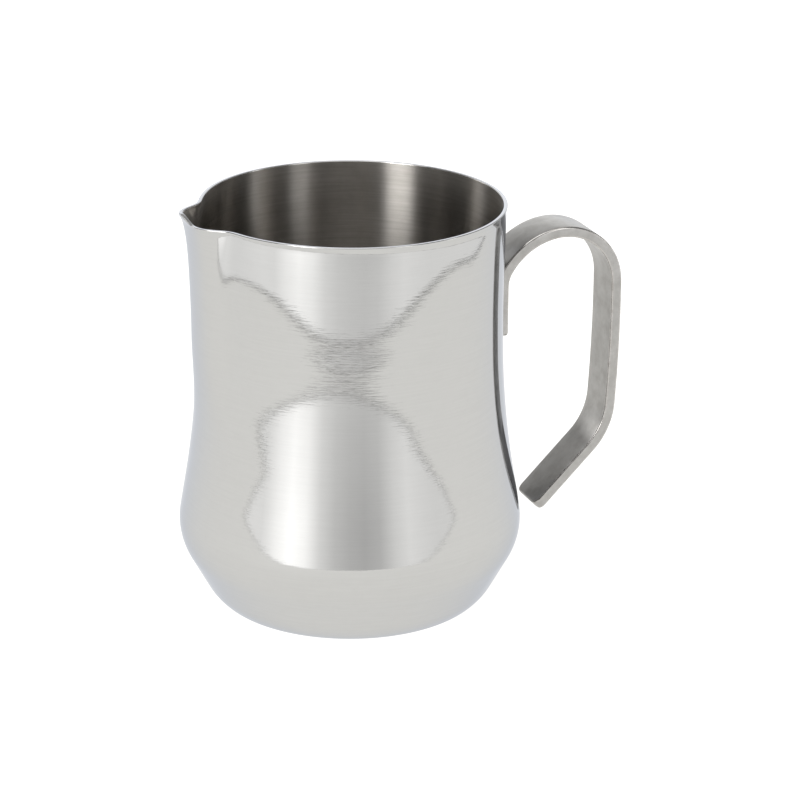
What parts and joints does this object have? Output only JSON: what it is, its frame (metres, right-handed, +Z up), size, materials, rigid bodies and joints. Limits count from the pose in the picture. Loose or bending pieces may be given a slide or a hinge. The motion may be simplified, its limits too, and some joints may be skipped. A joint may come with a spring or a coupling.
{
  "type": "milk frothing pitcher",
  "caption": "Bellied steel milk frothing pitcher with a pressed pouring spout in the rim and a bent flat-bar handle open at its lower end.",
  "frame": {"origin": "centre of the flat resting face under the cup, on the cup's axis", "axes": "+Z up along the cup's axis, +X towards the handle, -X towards the spout; the XZ plane is the plane of symmetry"},
  "size_m": [0.1168, 0.088, 0.1065],
  "materials": {
    "polished_steel": "bright polished stainless steel with a very fine turned grain, satin inside",
    "satin_steel": "satin stainless steel, tumbled, with softly rounded edges",
    "weld_steel": "fused weld metal, not visible"
  },
  "bodies": {
    "root": {"pitcher_body": "polished_steel", "handle": "satin_steel", "handle_spot_welds": "weld_steel"}
  },
  "joints": []
}
